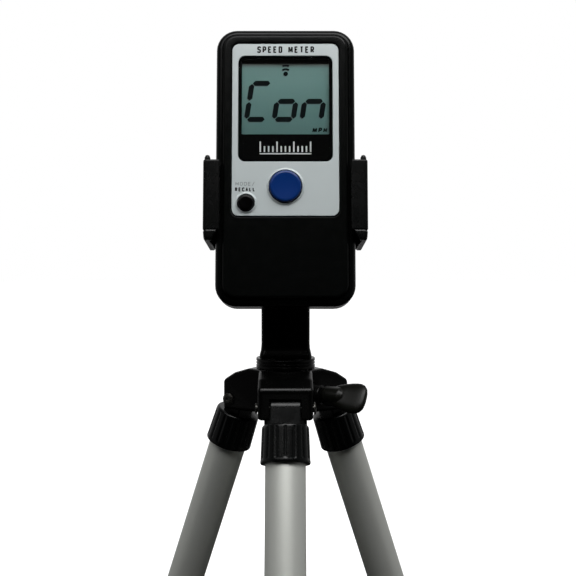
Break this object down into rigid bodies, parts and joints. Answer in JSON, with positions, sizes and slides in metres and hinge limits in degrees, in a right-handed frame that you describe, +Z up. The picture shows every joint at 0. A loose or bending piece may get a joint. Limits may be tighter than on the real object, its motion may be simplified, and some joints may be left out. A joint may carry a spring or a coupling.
{
  "type": "speed radar on a mini tripod",
  "caption": "Pocket display radar for measuring speed, gripped by a sprung two-jaw cradle on a pan-and-tilt head above a small folding tripod with a lifting column.",
  "frame": {"origin": "on the floor, at the middle of the footprint's bounding box; the tripod's own axis stands 23.4 mm behind it", "axes": "+Z up, the display faces -Y and leans back 8.5 degrees, +X is to the right of someone reading the display"},
  "size_m": [0.1786, 0.1568, 0.3552],
  "materials": {
    "tripod_plastic": "moulded, semi-gloss black",
    "cradle_plastic": "moulded, fine matt black",
    "case_plastic": "moulded, satin black",
    "rubber": "soft, matt black",
    "aluminium_tube": "satin clear anodised",
    "bright_steel": "bright",
    "brass": "turned",
    "white_plastic": "moulded, natural white",
    "silver_panel": "light silver-grey printed sheet",
    "clear_lens": "clear, polished",
    "black_mask": "gloss black",
    "lcd_glass": "grey-green display film, satin",
    "circuit_board": "green solder mask",
    "battery_sleeve": "plain dark sleeve",
    "blue_key": "satin blue",
    "black_key": "gloss black"
  },
  "bodies": {
    "tripod": {"spider": "tripod_plastic", "front_leg_pin": "bright_steel", "right_leg_pin": "bright_steel", "left_leg_pin": "bright_steel"},
    "front_leg": {"front_leg_block": "tripod_plastic", "front_upper_tube": "aluminium_tube"},
    "front_lock": {"front_twist_lock": "tripod_plastic"},
    "front_extension": {"front_lower_tube": "aluminium_tube", "front_foot": "rubber"},
    "right_leg": {"right_leg_block": "tripod_plastic", "right_upper_tube": "aluminium_tube"},
    "right_lock": {"right_twist_lock": "tripod_plastic"},
    "right_extension": {"right_lower_tube": "aluminium_tube", "right_foot": "rubber"},
    "left_leg": {"left_leg_block": "tripod_plastic", "left_upper_tube": "aluminium_tube"},
    "left_lock": {"left_twist_lock": "tripod_plastic"},
    "left_extension": {"left_lower_tube": "aluminium_tube", "left_foot": "rubber"},
    "centre_column": {"column": "aluminium_tube", "pan_ring": "tripod_plastic", "column_cap": "rubber"},
    "column_clamp": {"column_knob": "tripod_plastic"},
    "head": {"pan_neck": "tripod_plastic"},
    "tilt_clamp": {"tilt_knob": "tripod_plastic"},
    "cradle": {"tilt_platform": "tripod_plastic", "mount_stud": "bright_steel", "thread_insert": "brass", "holder_housing": "cradle_plastic", "holder_cover": "cradle_plastic", "cover_screw_1": "bright_steel", "cover_screw_2": "bright_steel", "grip_spring": "bright_steel"},
    "jam_ring": {"lock_ring": "tripod_plastic"},
    "right_grip": {"right_jaw": "cradle_plastic", "right_pad": "rubber"},
    "left_grip": {"left_jaw": "cradle_plastic", "left_pad": "rubber"},
    "pinion_gear": {"pinion": "white_plastic"},
    "radar": {"front_case": "case_plastic", "rear_case": "case_plastic", "face_panel": "silver_panel", "display_lens": "clear_lens", "window_mask": "black_mask", "lcd_panel": "lcd_glass", "lcd_holder": "white_plastic", "keypad": "rubber", "main_board": "circuit_board", "antenna_board": "circuit_board", "shield_can": "bright_steel", "battery_left": "battery_sleeve", "battery_right": "battery_sleeve", "battery_contact_lower": "bright_steel", "battery_contact_upper": "bright_steel", "case_screw_1": "bright_steel", "case_screw_2": "bright_steel"},
    "measure_key": {"measure_button": "blue_key"},
    "mode_key": {"mode_button": "black_key"},
    "door": {"battery_door": "case_plastic"}
  },
  "joints": [
    {"name": "front_leg_fold", "type": "hinge", "parent": "tripod", "child": "front_leg", "pos_m": [0, -0.00013, 0.19], "axis": [1, 0, 0], "range_deg": [0, 20]},
    {"name": "front_lock_twist", "type": "hinge", "parent": "front_leg", "child": "front_lock", "pos_m": [0, -0.05656, 0.03495], "axis": [0, -0.342, -0.9397], "range_deg": [0, 90]},
    {"name": "front_leg_extend", "type": "slide", "parent": "front_leg", "child": "front_extension", "axis": [0, -0.342, -0.9397], "range_m": [0, 0.11]},
    {"name": "right_leg_fold", "type": "hinge", "parent": "tripod", "child": "right_leg", "pos_m": [0.02035, 0.03512, 0.19], "axis": [-0.5, 0.866, 0], "range_deg": [0, 20]},
    {"name": "right_lock_twist", "type": "hinge", "parent": "right_leg", "child": "right_lock", "pos_m": [0.06922, 0.06334, 0.03495], "axis": [0.2962, 0.171, -0.9397], "range_deg": [0, 90]},
    {"name": "right_leg_extend", "type": "slide", "parent": "right_leg", "child": "right_extension", "axis": [0.2962, 0.171, -0.9397], "range_m": [0, 0.11]},
    {"name": "left_leg_fold", "type": "hinge", "parent": "tripod", "child": "left_leg", "pos_m": [-0.02035, 0.03512, 0.19], "axis": [-0.5, -0.866, 0], "range_deg": [0, 20]},
    {"name": "left_lock_twist", "type": "hinge", "parent": "left_leg", "child": "left_lock", "pos_m": [-0.06922, 0.06334, 0.03495], "axis": [-0.2962, 0.171, -0.9397], "range_deg": [0, 90]},
    {"name": "left_leg_extend", "type": "slide", "parent": "left_leg", "child": "left_extension", "axis": [-0.2962, 0.171, -0.9397], "range_m": [0, 0.11]},
    {"name": "column_lift", "type": "slide", "parent": "tripod", "child": "centre_column", "axis": [0, 0, 1], "range_m": [0, 0.08]},
    {"name": "column_clamp_turn", "type": "hinge", "parent": "tripod", "child": "column_clamp", "pos_m": [0.02165, 0.01087, 0.1935], "axis": [0.866, -0.5, 0], "range_deg": [0, 270]},
    {"name": "pan", "type": "hinge", "parent": "centre_column", "child": "head", "pos_m": [0, 0.02337, 0.21], "axis": [0, 0, 1], "continuous": true},
    {"name": "tilt", "type": "hinge", "parent": "head", "child": "cradle", "pos_m": [0, 0.02337, 0.2385], "axis": [-1, 0, 0], "range_deg": [-20, 60]},
    {"name": "tilt_clamp_turn", "type": "hinge", "parent": "head", "child": "tilt_clamp", "pos_m": [-0.018, 0.02337, 0.2385], "axis": [-1, 0, 0], "range_deg": [0, 270]},
    {"name": "jam_ring_turn", "type": "hinge", "parent": "cradle", "child": "jam_ring", "pos_m": [0, 0.02177, 0.25421], "axis": [0, 0.1478, 0.989], "range_deg": [0, 180]},
    {"name": "right_jaw_slide", "type": "slide", "parent": "cradle", "child": "right_grip", "axis": [1, 0, 0], "range_m": [0, 0.01], "stiffness_N_per_m": 200, "springref_m": -0.01},
    {"name": "left_jaw_slide", "type": "slide", "parent": "cradle", "child": "left_grip", "axis": [-1, 0, 0], "range_m": [0, 0.01]},
    {"name": "pinion_turn", "type": "hinge", "parent": "cradle", "child": "pinion_gear", "pos_m": [0, 0.0188, 0.27963], "axis": [0, 0.989, -0.1478], "range_deg": [0, 144]},
    {"name": "radar_lift", "type": "slide", "parent": "cradle", "child": "radar", "axis": [0, 0.1478, 0.989], "range_m": [0, 0.07]},
    {"name": "measure_press", "type": "slide", "parent": "radar", "child": "measure_key", "axis": [0, 0.989, -0.1478], "range_m": [0, 0.001], "stiffness_N_per_m": 1500, "springref_m": -0.0005},
    {"name": "mode_press", "type": "slide", "parent": "radar", "child": "mode_key", "axis": [0, 0.989, -0.1478], "range_m": [0, 0.001], "stiffness_N_per_m": 1500, "springref_m": -0.0005},
    {"name": "battery_door_slide", "type": "slide", "parent": "radar", "child": "door", "axis": [0, -0.1478, -0.989], "range_m": [0, 0.012]}
  ],
  "couplings": [
    {"joint": "left_jaw_slide", "follows": "right_jaw_slide", "ratio": 1},
    {"joint": "pinion_turn", "follows": "right_jaw_slide", "rad_per_m": 250}
  ]
}
